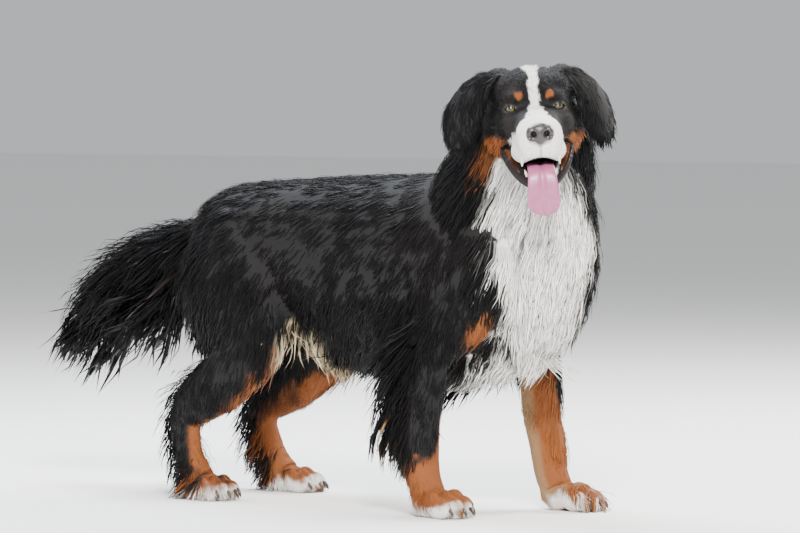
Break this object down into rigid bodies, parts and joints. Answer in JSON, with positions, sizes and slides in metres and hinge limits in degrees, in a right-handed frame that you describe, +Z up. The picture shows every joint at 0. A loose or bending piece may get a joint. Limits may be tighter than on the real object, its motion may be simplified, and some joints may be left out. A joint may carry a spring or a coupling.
{
  "type": "bernese mountain dog",
  "caption": "Life-size standing Bernese mountain dog with long tricolour coat, head turned to its right, tongue out and bushy tail low.",
  "frame": {"origin": "bottom centre of the whole dog's box, on the floor under its belly", "axes": "+X the way the dog's body points, +Y to the dog's left, +Z up"},
  "size_m": [1.4076, 0.4238, 0.8558],
  "materials": {
    "black_coat": "long glossy black hair",
    "rust_coat": "soft rust-brown hair",
    "white_coat": "soft white hair",
    "nose_leather": "moist pebbled leather",
    "tongue_flesh": "wet pink flesh",
    "amber_eye": "clear wet amber"
  },
  "bodies": {
    "root": {"head": "black_coat", "jaw": "white_coat", "nose": "nose_leather", "tongue": "tongue_flesh", "left_eye": "amber_eye", "right_eye": "amber_eye", "left_ear": "black_coat", "right_ear": "black_coat", "neck": "black_coat", "torso": "black_coat", "tail": "black_coat", "left_foreleg": "black_coat", "right_foreleg": "black_coat", "left_forepaw": "rust_coat", "right_forepaw": "rust_coat", "left_thigh": "black_coat", "right_thigh": "black_coat", "left_shank": "black_coat", "right_shank": "black_coat", "left_hindpaw": "rust_coat", "right_hindpaw": "rust_coat"}
  },
  "joints": []
}
